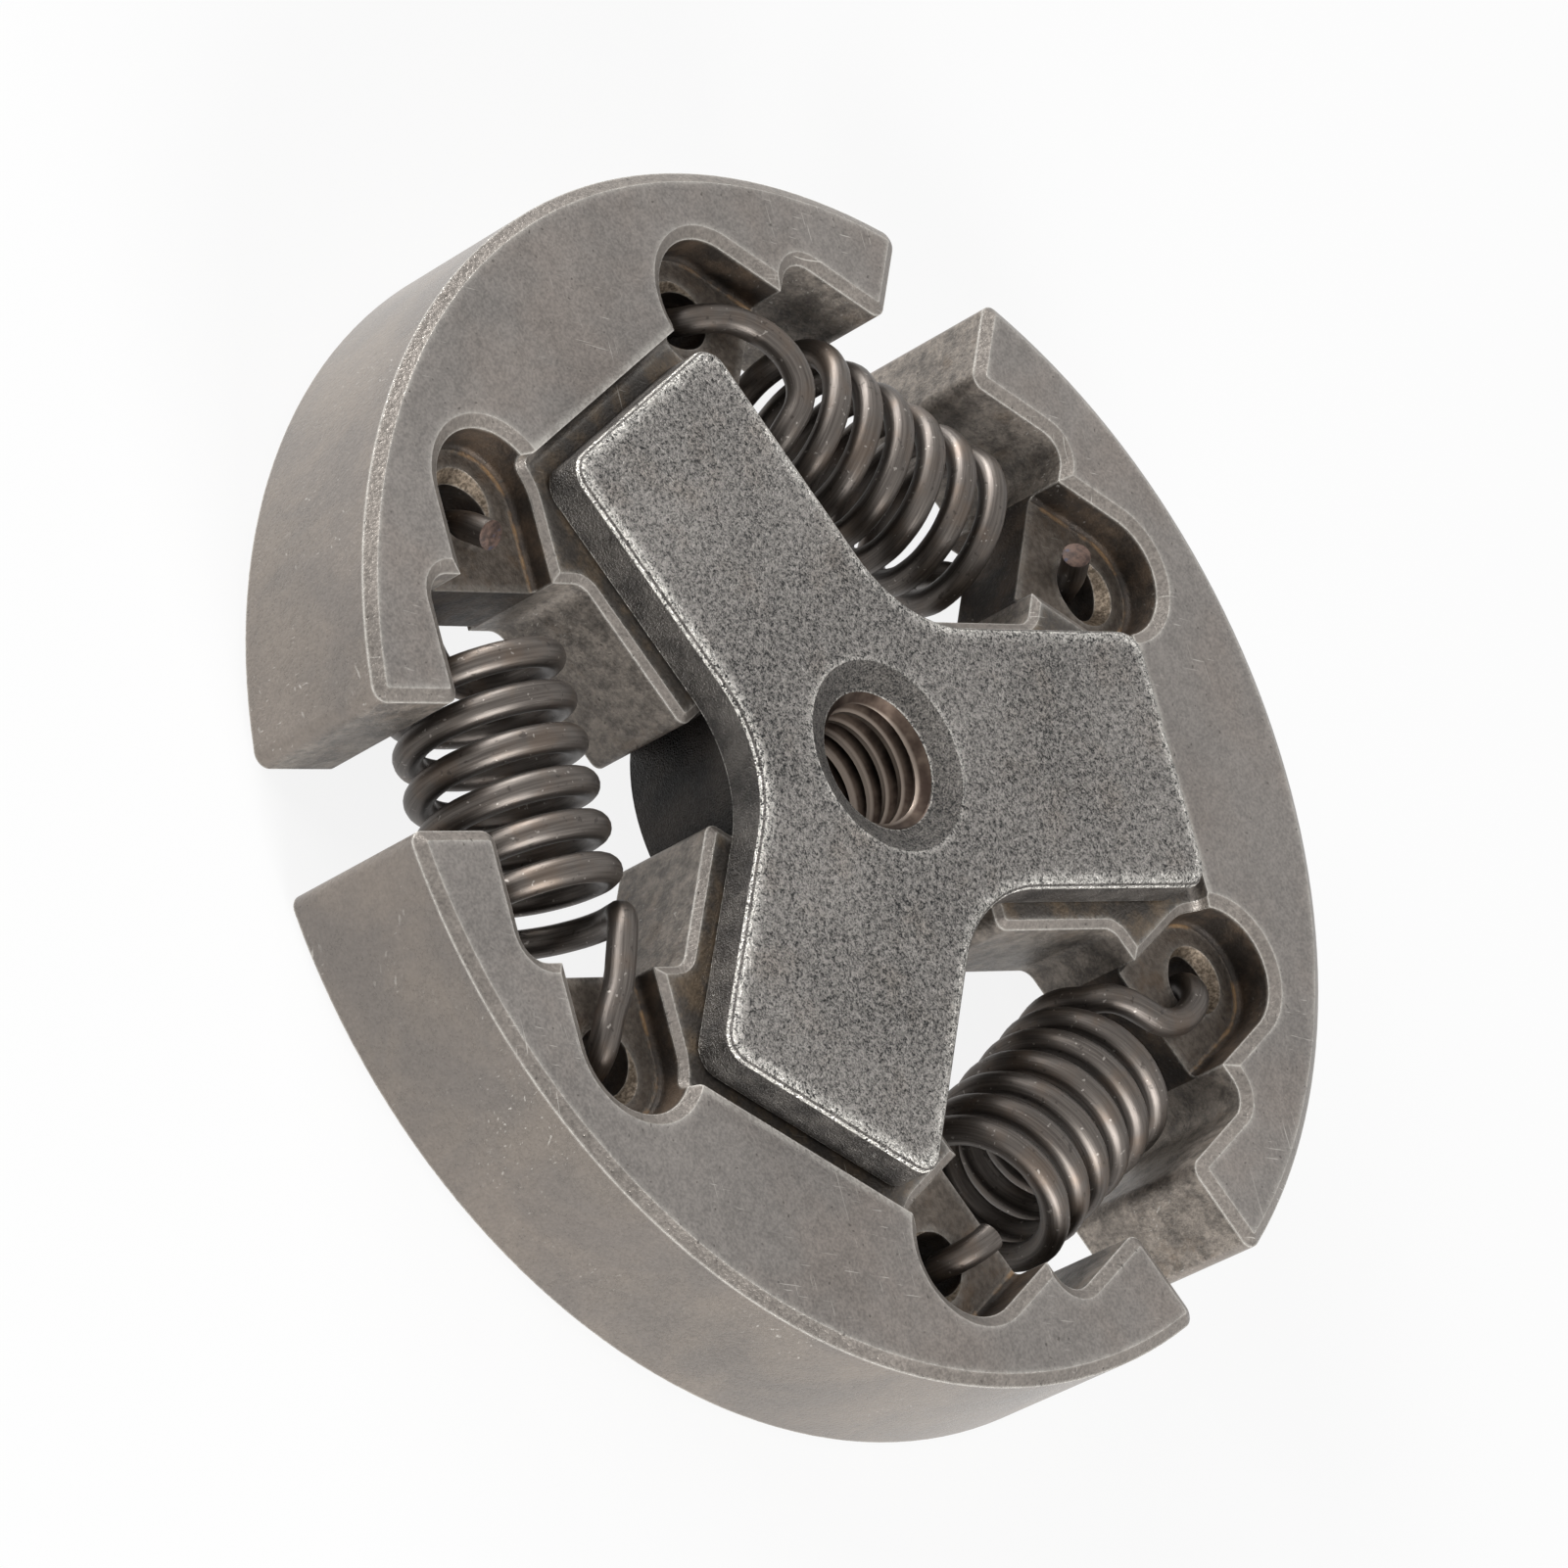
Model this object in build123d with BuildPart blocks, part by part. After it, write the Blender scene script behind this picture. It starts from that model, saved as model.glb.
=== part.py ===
from build123d import *
import os
from math import cos, pi, radians, sin, sqrt, tan

os.makedirs("parts", exist_ok=True)

# A three-shoe centrifugal clutch lying on its back, +Z along the bore towards the plate.
# The first shoe is centred on +Y. The others follow clockwise, as seen from the front.
# Every size is in millimetres and every angle in degrees.

# Shoes
outer_radius = 35.0        # friction face, shoes closed
thickness = 10.4           # rim of a shoe, back to front
shoe_count = 3
end_gap = 7.0              # between the straight ends of two shoes
horn_wall = 6.1            # friction face to the wall beside a spring
notch_floor = 10.75        # from the gap's middle line to the wall that a spring's end faces
notch_corner = 1.6         # round corner between those two walls
tip_round = 0.8
horn_round = 0.8
bevel_width = 0.68         # pressed bevel along the edges of both faces
bevel_height = 0.42
rim_width = 10.2           # friction face to the straight inner edge of the rim

# Springs
wire = 1.65
coil_outside = 10.3
coil_play = 1.15           # between a coil and the wall beside it
pitch = 2.4
coil_rounds = 7            # rounds of wire, the last part of them in the hooks
leave_angles = [110, 150, 150]   # where each hook leaves its coil, from the rim over the front
hook_rise = 0.12           # free space between a hook and the web that it crosses
hook_run = 1.2             # straight stretch over the web
hook_bend = 1.5
hook_lean = 14             # how far the wire leans in its hole, back to the coil
hook_side = 0.5            # how far rimward of the hole's middle a hook goes in
wire_past_web = 2.0        # how far the cut end stands out on the far side

# Pockets for the springs' hooks
pocket_radius = 3.75
pocket_reach = 4.6         # from the wall that the spring faces to the middle of the arch
pocket_depth = 2.8         # the same on both faces, so a web is left between them
pocket_round = 0.4
hole_radius = 1.8
sink_radius = 2.05         # right-angled countersink, set off towards the arch
sink_shift = 0.45

# Spider
plate_half_width = 7.63
plate_gap = 1.5            # between an arm of the plate and the rim's straight edge
plate_proud = 1.65         # how far the plate stands above the shoes' faces
plate_corner = 1.5
plate_valley = 8.2
plate_edge = 0.45          # rounding of the top edge
plate_foot = 0.2
plate_play = 0.08          # between the plate and the shoes' floors
hub_radius = 9.8
hub_back = 2.1             # height of the hub's back face above the shoes' backs
slide_play = 0.1           # each side, between an arm and the legs
seat_play = 0.05           # between an arm's end and the slot's bottom, shoes closed
guide_round = 0.9
bore_radius = 4.0          # root of the M8 x 1.25 thread; its ridges aren't cut here
dish_radius = 5.55         # shallow dish round the bore on the front
dish_depth = 0.8
back_chamfer = 0.5

# Inner part of a shoe: the floor behind the plate, and two legs along the spider's arm
front_recess = 1.05
back_recess = 1.9
recess_round = 0.6
leg_shows = 1.42           # how far a leg shows beyond the plate's side
leg_width = 3.1
leg_corner = 1.2           # where a leg meets the wall that the spring faces
leg_tip_round = 0.7
leg_bevel = 0.5
hub_play = 0.4             # between the hub and the legs' inside corners
slot_wall = 4.75           # between the slot's bottom and the rim's straight edge
slot_round = 0.7

near = 0.01                # for finding an edge or face by its place

step = 360 / shoe_count
half_step = radians(step / 2)
mid_height = thickness / 2
web_half = mid_height - pocket_depth
horn_radius = outer_radius - horn_wall
spring_radius = horn_radius - coil_play - coil_outside / 2
chord = outer_radius - rim_width
slot_bottom = chord - slot_wall
plate_reach = chord - plate_gap
pocket_center = notch_floor + pocket_reach
leg_outside = plate_half_width + leg_shows
leg_inside = leg_outside - leg_width
leg_tip = sqrt((hub_radius + hub_play) ** 2 - leg_inside ** 2)
turns = [-step * number for number in range(shoe_count)]


def at_end(along, across):
    """Point of the first shoe's right end: along the gap's middle line, and square to it."""
    return (along * sin(half_step) - across * cos(half_step),
            along * cos(half_step) + across * sin(half_step))


def along_gap(point):
    return point.X * sin(half_step) + point.Y * cos(half_step)


def across_gap(point):
    return point.Y * sin(half_step) - point.X * cos(half_step)


def nearest(items, point):
    return items.sort_by_distance(Vector(*point))[0]


def flat_at(items, level):
    """Edges or faces that lie wholly at one height."""
    return items.filter_by(lambda item: abs(item.bounding_box().min.Z - level) < near
                           and abs(item.bounding_box().max.Z - level) < near)


def export(part, name):
    part.label = name
    export_step(part, "parts/" + name + ".step")


# Shoe, modelled as its right half: the pressed outline first
tip = at_end(sqrt(outer_radius ** 2 - (end_gap / 2) ** 2), end_gap / 2)
horn = at_end(horn_radius, end_gap / 2)
notch = at_end(horn_radius, notch_floor)
leg_root = at_end((leg_outside + notch_floor * cos(half_step)) / sin(half_step), notch_floor)
leg_end = (leg_outside, leg_tip)
leg_end_inside = (leg_inside, leg_tip)
slot_corner = (leg_inside, slot_bottom)
rim_middle = (outer_radius * sin(half_step / 2), outer_radius * cos(half_step / 2))
chord_end = ((spring_radius - chord * cos(half_step)) / sin(half_step), chord)
pocket = Location((*at_end(spring_radius, pocket_center), 0), (0, 0, 90 + step / 4))

with BuildPart() as shoe_half:
    with BuildSketch() as outline:
        with BuildLine():
            ThreePointArc((0, outer_radius), rim_middle, tip)
            Polyline(tip, horn, notch, leg_root, leg_end, leg_end_inside, slot_corner,
                     (0, slot_bottom), (0, outer_radius))
        make_face()
        for point, size in [(tip, tip_round), (horn, horn_round), (notch, notch_corner),
                            (leg_root, leg_corner), (leg_end, leg_tip_round),
                            (leg_end_inside, leg_tip_round), (slot_corner, slot_round)]:
            fillet(nearest(outline.vertices(), point), size)
    extrude(amount=thickness)

    # Lower floors that clear the plate on the front and lighten the back
    for level, depth in [(thickness, -front_recess), (0, back_recess)]:
        with BuildSketch(Plane.XY.offset(level)):
            with BuildLine():
                Polyline((0, chord), chord_end, at_end(spring_radius, 0),
                         (spring_radius * sin(half_step), 0), (0, 0), (0, chord))
            make_face()
        extrude(amount=depth, mode=Mode.SUBTRACT)
    for level in (thickness - front_recess, back_recess):
        foot = flat_at(shoe_half.edges(), level).filter_by(
            lambda e: (e @ 0.5).Y > chord - near
            or abs(along_gap(e @ 0.5) - spring_radius) < near)
        fillet(foot, recess_round)

    # Arched pockets on both faces, open to the spring and cut into the rim
    for level, depth in [(thickness, -pocket_depth), (0, pocket_depth)]:
        with BuildSketch(Plane.XY.offset(level)):
            with Locations(pocket):
                Circle(pocket_radius)
                Rectangle(pocket_center - notch_floor + pocket_radius, 2 * pocket_radius,
                          align=(Align.MAX, Align.CENTER))
        extrude(amount=depth, mode=Mode.SUBTRACT)
    for level in (thickness - pocket_depth, pocket_depth):
        foot = flat_at(shoe_half.edges(), level).filter_by(
            lambda e: across_gap(e @ 0.5) > notch_floor + near)
        fillet(foot, pocket_round)

    # Bevels left by the press along the edges of both faces, and finer ones on the low floors,
    # round the legs and along the pockets
    for level in (thickness, 0):
        face = flat_at(shoe_half.faces(), level)[0]
        edges = face.edges().filter_by(lambda e: (e @ 0.5).X > near
                                       and abs((e @ 0.5).Y - chord) > near)
        chamfer(edges, length=bevel_width, length2=bevel_height, reference=face)
    for level in (thickness - front_recess, back_recess):
        face = flat_at(shoe_half.faces(), level)[0]
        edges = face.edges().filter_by(
            lambda e: (e @ 0.5).X > leg_inside + near and (e @ 0.5).Y < leg_root[1] + near
            or abs(along_gap(e @ 0.5) - spring_radius + pocket_radius) < near)
        chamfer(edges, length=leg_bevel, length2=leg_bevel * bevel_height / bevel_width,
                reference=face)

    # Hole for the hook through the web, with a countersink set off towards the arch
    with Locations(pocket * Location((0, 0, mid_height))):
        Cylinder(hole_radius, thickness, mode=Mode.SUBTRACT)
    for face_side in (1, -1):
        height = mid_height + face_side * (web_half - sink_radius / 2)
        with Locations(pocket * Location((sink_shift, 0, height), (90 - 90 * face_side, 0, 0))):
            Cone(0, sink_radius, sink_radius, mode=Mode.SUBTRACT)

with BuildPart() as shoe_form:
    add(shoe_half.part)
    mirror(about=Plane.YZ)

with BuildPart() as shoe_1:
    add(shoe_form.part)
export(shoe_1.part, "shoe_1")

for number in range(1, shoe_count):
    with BuildPart() as shoe:
        add(shoe_form.part.rotate(Axis.Z, turns[number]))
    export(shoe.part, "shoe_" + str(number + 1))

# Spider: a Y-shaped plate, an arm behind each part of it between a shoe's legs, and the hub
arm_reach = slot_bottom - seat_play
arm_half_width = leg_inside - slide_play
plate_back = thickness - front_recess + plate_play
plate_front = thickness + plate_proud

with BuildPart() as spider:
    with BuildSketch(Plane.XY.offset(plate_back)) as plate:
        for turn in turns:
            with Locations(Rotation(0, 0, turn)):
                Rectangle(2 * plate_half_width, plate_reach, align=(Align.CENTER, Align.MIN))
        valleys = plate.vertices().sort_by_distance(Vector(0, 0, plate_back))[:shoe_count]
        fillet(valleys, plate_valley)
        fillet(plate.vertices().filter_by(lambda v: Vector(v.X, v.Y).length > plate_reach),
               plate_corner)
    extrude(amount=plate_front - plate_back)
    fillet(flat_at(spider.edges(), plate_front), plate_edge)
    fillet(flat_at(spider.edges(), plate_back), plate_foot)
    with BuildSketch(Plane.XY.offset(hub_back)) as guides:
        for turn in turns:
            with Locations(Rotation(0, 0, turn)):
                Rectangle(2 * arm_half_width, arm_reach, align=(Align.CENTER, Align.MIN))
        fillet(guides.vertices().filter_by(lambda v: Vector(v.X, v.Y).length > arm_reach),
               guide_round)
        Circle(hub_radius)
    extrude(amount=plate_back + plate_foot - hub_back)

    # Bore with a shallow dish on the front and a chamfer at the back
    with BuildSketch(Plane.XZ):
        with BuildLine():
            Polyline((0, hub_back), (bore_radius + back_chamfer, hub_back),
                     (bore_radius, hub_back + back_chamfer),
                     (bore_radius, plate_front - dish_depth),
                     (dish_radius, plate_front), (0, plate_front), (0, hub_back))
        make_face()
    revolve(mode=Mode.SUBTRACT)
export(spider.part, "spider")

# Spring: a coil of round wire, and a hook at each end that goes through a shoe's web.
# It is bent round its own axis, with x to the rim, y to the back and z to its front hook.
coil_radius = (coil_outside - wire) / 2
over_web = web_half + wire / 2 + hook_rise
bend_height = over_web - hook_bend
lean = radians(hook_lean)
bend_end = pi / 2 + lean
bend_along = (pocket_center - hook_bend * cos(lean)
              + (bend_height - hook_bend * sin(lean)) * tan(lean))
cut_height = web_half + wire_past_web
spring_place = Plane(origin=(*at_end(spring_radius, 0), mid_height), x_dir=(*at_end(1, 0), 0),
                     z_dir=(*at_end(0, 1), 0))


def on_bend(angle):
    return (hook_side, -bend_height - hook_bend * cos(angle),
            bend_along + hook_bend * sin(angle))


def make_spring(leave_angle):
    """Coil with two like hooks, one the other turned over, in its place beside the first shoe."""
    rounds = coil_rounds - leave_angle / 180
    reach = pitch * rounds / 2
    coil = Rot(0, 0, -leave_angle - 360 * rounds) * Helix(
        pitch, 2 * reach, coil_radius, center=(0, 0, -reach))
    with BuildLine() as hook:
        run_start = (hook_side, -over_web, bend_along - hook_run)
        Spline(coil @ 1, run_start, tangents=[coil % 1, (0, 0, 1)], tangent_scalars=(1.5, 1))
        Line(run_start, on_bend(0))
        ThreePointArc(on_bend(0), on_bend(bend_end / 2), on_bend(bend_end))
        drop = cut_height - on_bend(bend_end)[1]
        Line(on_bend(bend_end),
             (hook_side, cut_height, on_bend(bend_end)[2] - drop * tan(lean)))
    with BuildPart() as form:
        with BuildSketch(Plane(origin=coil @ 0, z_dir=coil % 0)):
            Circle(wire / 2)
        sweep(path=coil)
        for stretch in (hook.wire(), Rot(180, 0, 0) * hook.wire()):
            end_face = form.faces().filter_by(GeomType.PLANE).sort_by_distance(stretch @ 0)[0]
            sweep(sections=end_face, path=stretch)
    return spring_place.from_local_coords(form.part)


for number in range(shoe_count):
    with BuildPart() as spring:
        add(make_spring(leave_angles[number]).rotate(Axis.Z, turns[number]))
    export(spring.part, "spring_" + str(number + 1))
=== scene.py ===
# %% [markdown]
# # A chainsaw's centrifugal clutch
# Three pressed and sintered shoes sit round a Y-shaped spider, and three coil springs hold them in.
# The solids of the shoes and the spider are already right, because they were built in a CAD
# program, so this scene gives them their finish and leaves their meshes alone. What it models anew
# is the wire of the springs, so that drawing marks can run along it, and the thread in the bore.
# Every object is in metres and lies in the same frame as the solids.

# %% Load the fixed frame
from math import cos, pi, radians, sin, tan
import bpy
from mathutils import Matrix, Vector


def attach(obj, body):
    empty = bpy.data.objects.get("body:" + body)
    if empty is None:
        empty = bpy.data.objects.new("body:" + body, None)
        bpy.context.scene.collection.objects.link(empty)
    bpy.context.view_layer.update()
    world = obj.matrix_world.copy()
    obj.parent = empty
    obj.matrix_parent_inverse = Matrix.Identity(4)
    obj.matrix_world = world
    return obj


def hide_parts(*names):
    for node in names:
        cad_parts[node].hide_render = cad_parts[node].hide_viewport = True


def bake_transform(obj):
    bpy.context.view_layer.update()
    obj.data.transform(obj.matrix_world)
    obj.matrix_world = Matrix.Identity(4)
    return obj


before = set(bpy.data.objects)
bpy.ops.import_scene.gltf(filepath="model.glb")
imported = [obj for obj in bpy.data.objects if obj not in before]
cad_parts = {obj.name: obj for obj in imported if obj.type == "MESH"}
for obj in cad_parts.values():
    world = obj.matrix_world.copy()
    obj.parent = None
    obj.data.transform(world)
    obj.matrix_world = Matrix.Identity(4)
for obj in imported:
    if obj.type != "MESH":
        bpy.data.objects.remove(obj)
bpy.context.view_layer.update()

print("nodes:", ", ".join(sorted(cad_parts)))

# %% [markdown]
# Sizes that the new pieces share with the solids. They are written once here, in millimetres, and
# turned into metres by `mm`. A spring is described in its own frame: x points to the rim, y to the
# back and z along the coil towards its front hook.

# %% Sizes of the springs and the bore
mm = 0.001
mid_height = 5.2 * mm
spring_radius = 22.6 * mm        # bore's axis to a coil's axis
wire = 1.65 * mm
coil_radius = 4.325 * mm
coil_rounds = 7                  # rounds of wire, the last part of them in the hooks
pitch = 2.4 * mm
hole_along = 15.35 * mm          # middle of a coil to the hole that its hook goes through
bore_radius = 4.0 * mm
thread_pitch = 1.25 * mm
thread_from, thread_to = 2.6 * mm, 11.25 * mm
print("coil outside", round((2 * coil_radius + wire) / mm, 2), "mm")

# %% [markdown]
# ## Camera
# The photograph looks down on the clutch's face with a long lens, so the shoes hardly shrink with
# distance. The place, the turn and the lens were worked out from points on the three like shoes,
# and a camera is a matrix of three axes and a place, so it is set as one.

# %% Place the camera
camera_data = bpy.data.cameras.new("camera")
camera_data.sensor_width = 36
camera_data.lens = 188.2
camera_data.clip_start, camera_data.clip_end = 0.01, 10
camera = bpy.data.objects.new("camera", camera_data)
bpy.context.scene.collection.objects.link(camera)
right = Vector((0.4768, -0.56689, 0.67178)).normalized()
back = Vector((-0.74526, 0.14454, 0.65092)).normalized()
up = back.cross(right)
camera.matrix_world = Matrix((
    (right.x, up.x, back.x, -0.33219),
    (right.y, up.y, back.y, 0.06570),
    (right.z, up.z, back.z, 0.29488),
    (0, 0, 0, 1)))
bpy.context.scene.camera = camera
print("camera", round(camera.location.length, 3), "m from the bore's back")

# %% [markdown]
# ## Light
# A small metal part is photographed in a tent: white all round, with lamps low at two sides. Metal
# shows what it reflects, so the white must be there for reflections too. Light Path tells the world
# which rays are from the camera, a reflection or through glass, and those see plain white. Rays
# that light the object see less.

# %% World
bpy.context.scene.view_settings.view_transform = "Standard"
world = bpy.data.worlds.new("tent")
bpy.context.scene.world = world
world.use_nodes = True
tree = world.node_tree
tree.nodes.clear()
path = tree.nodes.new("ShaderNodeLightPath")
seen = tree.nodes.new("ShaderNodeMath")
seen.operation = "MAXIMUM"
shown = tree.nodes.new("ShaderNodeMath")
shown.operation = "MAXIMUM"
soft = tree.nodes.new("ShaderNodeBackground")
soft.inputs["Color"].default_value = (1, 1, 1, 1)
soft.inputs["Strength"].default_value = 0.20
white = tree.nodes.new("ShaderNodeBackground")
white.inputs["Color"].default_value = (1, 1, 1, 1)
white.inputs["Strength"].default_value = 1
mix = tree.nodes.new("ShaderNodeMixShader")
output = tree.nodes.new("ShaderNodeOutputWorld")
tree.links.new(path.outputs["Is Camera Ray"], seen.inputs[0])
tree.links.new(path.outputs["Is Glossy Ray"], seen.inputs[1])
tree.links.new(seen.outputs[0], shown.inputs[0])
tree.links.new(path.outputs["Is Transmission Ray"], shown.inputs[1])
tree.links.new(shown.outputs[0], mix.inputs["Fac"])
tree.links.new(soft.outputs[0], mix.inputs[1])
tree.links.new(white.outputs[0], mix.inputs[2])
tree.links.new(mix.outputs[0], output.inputs["Surface"])
print("world:", len(tree.nodes), "nodes")

# %% [markdown]
# White all round gives no shape to a dull face, so three soft lamps stand low over the floor. One
# is towards the foot of the picture. Two are beyond its top, and the lower of them grazes the faces
# and brings out their grain. So the round walls fade from light to dark and back. An area lamp is
# used, because its size sets how soft the light is.


# %% Lamps
def add_lamp(name, place, aim, size, power):
    """A square soft lamp at a place, turned to shine at a point."""
    data = bpy.data.lights.new(name, "AREA")
    data.size, data.energy = size, power
    lamp = bpy.data.objects.new(name, data)
    bpy.context.scene.collection.objects.link(lamp)
    lamp.location = place
    lamp.rotation_euler = (Vector(aim) - Vector(place)).to_track_quat("-Z", "Y").to_euler()
    return lamp


add_lamp("key", (-0.34, -0.44, 0.18), (0, 0, 0), 0.26, 4.8)
add_lamp("top", (-0.09, 0.52, 0.16), (0, 0, 0), 0.30, 2.2)
add_lamp("grazing", (0.24, 0.54, 0.08), (0, 0, 0), 0.26, 5.4)

# %% [markdown]
# ## Floor
# The clutch lies on its back on a pale floor that runs to the horizon. Its own colour is a little
# off white. For the camera and for reflections it glows in part, which takes it to plain white
# where nothing shades it, and the other part is lit, so the shadow stays.

# %% Floor
bpy.ops.object.select_all(action="DESELECT")
bpy.ops.mesh.primitive_plane_add(size=6, location=(0, 0, -0.00002))
floor = bpy.context.object
floor.name = "floor"
floor_look = bpy.data.materials.new("pale_floor")
floor_look.use_nodes = True
tree = floor_look.node_tree
paint = tree.nodes["Principled BSDF"]
paint.inputs["Base Color"].default_value = (0.86, 0.86, 0.86, 1)
paint.inputs["Roughness"].default_value = 0.9
paint.inputs["Specular IOR Level"].default_value = 0
glow = tree.nodes.new("ShaderNodeEmission")
glow.inputs["Strength"].default_value = 1
path = tree.nodes.new("ShaderNodeLightPath")
seen = tree.nodes.new("ShaderNodeMath")
seen.operation = "MAXIMUM"
share = tree.nodes.new("ShaderNodeMath")
share.operation = "MULTIPLY"
share.inputs[1].default_value = 0.88
mix = tree.nodes.new("ShaderNodeMixShader")
tree.links.new(path.outputs["Is Camera Ray"], seen.inputs[0])
tree.links.new(path.outputs["Is Glossy Ray"], seen.inputs[1])
tree.links.new(seen.outputs[0], share.inputs[0])
tree.links.new(share.outputs[0], mix.inputs["Fac"])
tree.links.new(paint.outputs[0], mix.inputs[1])
tree.links.new(glow.outputs[0], mix.inputs[2])
tree.links.new(mix.outputs[0], tree.nodes["Material Output"].inputs["Surface"])
floor.data.materials.append(floor_look)
print("floor", round(floor.dimensions.x, 1), "m wide")

# %% [markdown]
# ## Building blocks for the finishes
# A finish is a small machine of nodes. These helpers keep each one short: `math` adds a sum,
# `ramp` maps a range to 0 to 1, `blend_colour` mixes two colours, `split` and `length` measure a
# vector, and `new_group` starts a group with named inputs and outputs that any material can use
# with its own values.


# %% Helpers for node trees
def join(tree, socket, source):
    """Puts a link or a plain value into a socket."""
    if isinstance(source, bpy.types.NodeSocket):
        tree.links.new(source, socket)
    elif source is not None:
        socket.default_value = source


def math(tree, operation, first, second=None, third=None, clamp=False):
    node = tree.nodes.new("ShaderNodeMath")
    node.operation, node.use_clamp = operation, clamp
    for socket, source in zip(node.inputs, (first, second, third)):
        join(tree, socket, source)
    return node.outputs[0]


def ramp(tree, value, low, high, to_low=0.0, to_high=1.0):
    node = tree.nodes.new("ShaderNodeMapRange")
    node.interpolation_type = "SMOOTHSTEP"
    for name, source in (("Value", value), ("From Min", low), ("From Max", high),
                         ("To Min", to_low), ("To Max", to_high)):
        join(tree, node.inputs[name], source)
    return node.outputs["Result"]


def blend_colour(tree, share, first, second, kind="MIX"):
    node = tree.nodes.new("ShaderNodeMix")
    node.data_type, node.blend_type = "RGBA", kind
    join(tree, node.inputs[0], share)
    join(tree, node.inputs[6], first)
    join(tree, node.inputs[7], second)
    return node.outputs[2]


def split(tree, vector):
    """The three parts of a vector, by their names X, Y and Z."""
    node = tree.nodes.new("ShaderNodeSeparateXYZ")
    join(tree, node.inputs[0], vector)
    return node.outputs


def length(tree, first, second):
    """The length of a flat vector with these two parts."""
    return math(tree, "SQRT", math(tree, "ADD", math(tree, "POWER", first, 2.0),
                                   math(tree, "POWER", second, 2.0)))


def noise(tree, place, scale, detail=2.0, rough=0.5, warp=0.0):
    node = tree.nodes.new("ShaderNodeTexNoise")
    for name, source in (("Vector", place), ("Scale", scale), ("Detail", detail),
                         ("Roughness", rough), ("Distortion", warp)):
        join(tree, node.inputs[name], source)
    return node.outputs["Fac"]


def new_group(name, takes, gives):
    """A shader group, its tree and its input node. takes and gives are pairs of name and kind."""
    group = bpy.data.node_groups.new(name, "ShaderNodeTree")
    for label, kind in takes:
        group.interface.new_socket(label, in_out="INPUT", socket_type="NodeSocket" + kind)
    for label, kind in gives:
        group.interface.new_socket(label, in_out="OUTPUT", socket_type="NodeSocket" + kind)
    takes_in = group.nodes.new("NodeGroupInput").outputs
    gives_out = group.nodes.new("NodeGroupOutput").inputs
    return group, takes_in, gives_out


def place_group(tree, group, **values):
    """Puts a group into a material with its own values, and gives back its outputs."""
    node = tree.nodes.new("ShaderNodeGroup")
    node.node_tree = group
    for label, source in values.items():
        join(tree, node.inputs[label.replace("_", " ")], source)
    return node.outputs


print("helpers for node trees are ready")

# %% [markdown]
# ## Sintered grain
# Sintered steel is pressed powder. Up close it shows fine light and dark grains, soft clouds where
# the powder packed more or less tightly, and small open pores. Three noises of different size give
# these, all read from the object's own coordinates, so nothing swims when a shoe slides.

# %% Group: grain
grain, take, give = new_group("sintered_grain", [
    ("Place", "Vector"), ("Grain Size", "Float"), ("Contrast", "Float"), ("Clouds", "Float"),
    ("Pores", "Float")], [("Tone", "Float"), ("Height", "Float"), ("Pore", "Float")])
fineness = math(grain, "DIVIDE", 1.0, take["Grain Size"])
fine = noise(grain, take["Place"], fineness, 2.0, 0.6)
coarse = noise(grain, take["Place"], math(grain, "MULTIPLY", fineness, 0.3), 3.0, 0.6)
clouds = noise(grain, take["Place"], 95.0, 3.0, 0.55)
speckle = math(grain, "ADD", ramp(grain, fine, 0.30, 0.70, -0.65, 0.65),
               ramp(grain, coarse, 0.32, 0.68, -0.35, 0.35))
cloud = math(grain, "MULTIPLY", math(grain, "SUBTRACT", clouds, 0.5), take["Clouds"])
tone = math(grain, "ADD", math(grain, "MULTIPLY", speckle, take["Contrast"]), cloud)
pores = ramp(grain, noise(grain, take["Place"], math(grain, "MULTIPLY", fineness, 0.55), 1.0, 0.4),
             0.70, 0.80)
pore = math(grain, "MULTIPLY", pores, take["Pores"])
join(grain, give["Tone"], math(grain, "ADD", tone, 1.0))
join(grain, give["Height"], math(grain, "SUBTRACT", speckle, math(grain, "MULTIPLY", pore, 1.5)))
join(grain, give["Pore"], pore)
print("grain:", len(grain.nodes), "nodes")

# %% [markdown]
# ## Worn and highlit edges
# Parts tumbled in a drum after pressing get a thin bright line on each outer edge. Here the line is
# partly that wear and partly a painted highlight, the glint that a rounded edge catches. The Bevel
# node gives the normal that a rounded edge would have, and where it differs from the real one there
# is an edge. The sharper the edge, the more they differ, so a bevel has a weaker line where it
# meets the face than where it meets the wall. Sloping faces, which are the pressed bevels and the
# rounded rims, and flat ones are found by how upright their normal is, and all these masks come out
# of one group.

# %% Group: edges
edges, take, give = new_group("worn_and_highlit_edges", [
    ("Place", "Vector"), ("Line Width", "Float"), ("Breaks", "Float")],
    [("Line", "Float"), ("Slope", "Float"), ("Flat", "Float"), ("Upright", "Float")])
rounder = edges.nodes.new("ShaderNodeBevel")
rounder.samples = 6
join(edges, rounder.inputs["Radius"], take["Line Width"])
surface = edges.nodes.new("ShaderNodeNewGeometry")
likeness = edges.nodes.new("ShaderNodeVectorMath")
likeness.operation = "DOT_PRODUCT"
join(edges, likeness.inputs[0], rounder.outputs["Normal"])
join(edges, likeness.inputs[1], surface.outputs["Normal"])
edge = ramp(edges, likeness.outputs["Value"], 0.9995, 0.935)
breaks = ramp(edges, math(edges, "ADD", noise(edges, take["Place"], 700.0, 2.0, 0.6), math(
    edges, "MULTIPLY", noise(edges, take["Place"], 4200.0, 1.0, 0.5), 0.8)), 0.72, 1.02)
wear = math(edges, "SUBTRACT", 1.0, math(edges, "MULTIPLY", take["Breaks"],
                                         math(edges, "SUBTRACT", 1.0, breaks)))
# Line: partly edge wear, partly a painted highlight along the edge
join(edges, give["Line"], math(edges, "MULTIPLY", edge, wear))
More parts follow.
